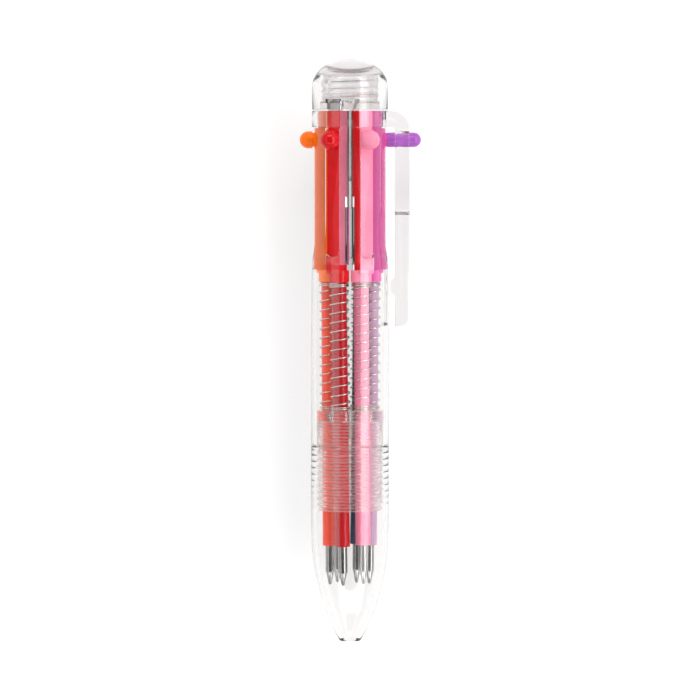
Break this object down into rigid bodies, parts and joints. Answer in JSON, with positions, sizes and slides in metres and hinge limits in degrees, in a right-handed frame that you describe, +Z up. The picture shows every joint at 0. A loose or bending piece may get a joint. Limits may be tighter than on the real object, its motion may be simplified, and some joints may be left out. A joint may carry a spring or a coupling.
{
  "type": "multicolor click pen",
  "caption": "Clear click pen with coloured sprung refills pushed out one at a time by slide knobs, a pocket clip and a screwed nose.",
  "frame": {"origin": "middle of the pen's bounding box, at the bottom, where the pen lying down touches the table", "axes": "+X along the pen from the writing end to the dome, +Z up from the table, so the clip points to -Y"},
  "size_m": [0.1458, 0.0302, 0.0221],
  "materials": {
    "clear_plastic": "polished clear polystyrene",
    "hazy_plastic": "hazy translucent plastic",
    "purple_slider": "glossy moulded plastic",
    "purple_tube": "satin ink-filled tube",
    "blue_slider": "glossy moulded plastic",
    "blue_tube": "satin ink-filled tube",
    "green_slider": "glossy moulded plastic",
    "green_tube": "satin ink-filled tube",
    "orange_slider": "glossy moulded plastic",
    "orange_tube": "satin ink-filled tube",
    "red_slider": "glossy moulded plastic",
    "red_tube": "satin ink-filled tube",
    "pink_slider": "glossy moulded plastic",
    "pink_tube": "satin ink-filled tube",
    "spring_steel": "bright drawn wire",
    "nib_metal": "bright nickel silver",
    "ball_metal": "fine-ground carbide"
  },
  "bodies": {
    "barrel": {"dome_cap": "clear_plastic", "top_plug": "clear_plastic", "clip_collar": "clear_plastic", "upper_barrel": "clear_plastic", "guide_post": "clear_plastic", "coupling_insert": "hazy_plastic", "spring_purple": "spring_steel", "spring_blue": "spring_steel", "spring_green": "spring_steel", "spring_orange": "spring_steel", "spring_red": "spring_steel", "spring_pink": "spring_steel"},
    "nose": {"nose_section": "clear_plastic"},
    "clip": {"clip_arm": "clear_plastic"},
    "slider_purple": {"slider_purple": "purple_slider", "refill_tube_purple": "purple_tube"},
    "nib_purple": {"nib_purple": "nib_metal", "nib_ball_purple": "ball_metal"},
    "slider_blue": {"slider_blue": "blue_slider", "refill_tube_blue": "blue_tube"},
    "nib_blue": {"nib_blue": "nib_metal", "nib_ball_blue": "ball_metal"},
    "slider_green": {"slider_green": "green_slider", "refill_tube_green": "green_tube"},
    "nib_green": {"nib_green": "nib_metal", "nib_ball_green": "ball_metal"},
    "slider_orange": {"slider_orange": "orange_slider", "refill_tube_orange": "orange_tube"},
    "nib_orange": {"nib_orange": "nib_metal", "nib_ball_orange": "ball_metal"},
    "slider_red": {"slider_red": "red_slider", "refill_tube_red": "red_tube"},
    "nib_red": {"nib_red": "nib_metal", "nib_ball_red": "ball_metal"},
    "slider_pink": {"slider_pink": "pink_slider", "refill_tube_pink": "pink_tube"},
    "nib_pink": {"nib_pink": "nib_metal", "nib_ball_pink": "ball_metal"}
  },
  "joints": [
    {"name": "press_purple", "type": "slide", "parent": "barrel", "child": "slider_purple", "axis": [-1, 0, 0], "range_m": [0, 0.0165], "stiffness_N_per_m": 100, "springref_m": -0.012, "deforming": ["spring_purple", "refill_tube_purple"]},
    {"name": "bend_purple", "type": "hinge", "parent": "slider_purple", "child": "nib_purple", "pos_m": [0.0006, -0.00271, 0.01082], "axis": [0.0126, 0.1789, -0.9838], "range_deg": [0, 4.89], "deforming": ["nib_purple", "nib_ball_purple"]},
    {"name": "press_blue", "type": "slide", "parent": "barrel", "child": "slider_blue", "axis": [-1, 0, 0], "range_m": [0, 0.0165], "stiffness_N_per_m": 100, "springref_m": -0.012, "deforming": ["spring_blue", "refill_tube_blue"]},
    {"name": "bend_blue", "type": "hinge", "parent": "slider_blue", "child": "nib_blue", "pos_m": [0.0006, 0.00012, 0.00635], "axis": [0.0126, 0.9415, -0.3367], "range_deg": [0, 4.89], "deforming": ["nib_blue", "nib_ball_blue"]},
    {"name": "press_green", "type": "slide", "parent": "barrel", "child": "slider_green", "axis": [-1, 0, 0], "range_m": [0, 0.0165], "stiffness_N_per_m": 100, "springref_m": -0.012, "deforming": ["spring_green", "refill_tube_green"]},
    {"name": "bend_green", "type": "hinge", "parent": "slider_green", "child": "nib_green", "pos_m": [0.0006, 0.00541, 0.00656], "axis": [0.0125, 0.7626, 0.6467], "range_deg": [0, 4.9], "deforming": ["nib_green", "nib_ball_green"]},
    {"name": "press_orange", "type": "slide", "parent": "barrel", "child": "slider_orange", "axis": [-1, 0, 0], "range_m": [0, 0.0165], "stiffness_N_per_m": 100, "springref_m": -0.012, "deforming": ["spring_orange", "refill_tube_orange"]},
    {"name": "bend_orange", "type": "hinge", "parent": "slider_orange", "child": "nib_orange", "pos_m": [0.0006, 0.00786, 0.01125], "axis": [0.0126, -0.179, 0.9838], "range_deg": [0, 4.89], "deforming": ["nib_orange", "nib_ball_orange"]},
    {"name": "press_red", "type": "slide", "parent": "barrel", "child": "slider_red", "axis": [-1, 0, 0], "range_m": [0, 0.0165], "stiffness_N_per_m": 100, "springref_m": -0.012, "deforming": ["spring_red", "refill_tube_red"]},
    {"name": "bend_red", "type": "hinge", "parent": "slider_red", "child": "nib_red", "pos_m": [0.0006, 0.00503, 0.01572], "axis": [0.0126, -0.9414, 0.337], "range_deg": [0, 4.89], "deforming": ["nib_red", "nib_ball_red"]},
    {"name": "press_pink", "type": "slide", "parent": "barrel", "child": "slider_pink", "axis": [-1, 0, 0], "range_m": [0, 0.0165], "stiffness_N_per_m": 100, "springref_m": -0.012, "deforming": ["spring_pink", "refill_tube_pink"]},
    {"name": "bend_pink", "type": "hinge", "parent": "slider_pink", "child": "nib_pink", "pos_m": [0.0006, -0.00026, 0.01551], "axis": [0.0125, -0.7632, -0.646], "range_deg": [0, 4.93], "deforming": ["nib_pink", "nib_ball_pink"]},
    {"name": "nose_off", "type": "slide", "parent": "barrel", "child": "nose", "axis": [-1, 0, 0], "range_m": [0, 0.035]},
    {"name": "clip_flex", "type": "hinge", "parent": "barrel", "child": "clip", "pos_m": [0.0551, -0.00992, 0.01103], "axis": [0, 0, 1], "range_deg": [0, 4.5], "stiffness_Nm_per_rad": 2.3, "springref_deg": -0.57}
  ],
  "couplings": [
    {"joint": "bend_purple", "follows": "press_purple", "rad_per_m": 5.1727},
    {"joint": "bend_blue", "follows": "press_blue", "rad_per_m": 5.1635},
    {"joint": "bend_green", "follows": "press_green", "rad_per_m": 5.1774},
    {"joint": "bend_orange", "follows": "press_orange", "rad_per_m": 5.1681},
    {"joint": "bend_red", "follows": "press_red", "rad_per_m": 5.1727},
    {"joint": "bend_pink", "follows": "press_pink", "rad_per_m": 5.2099}
  ]
}
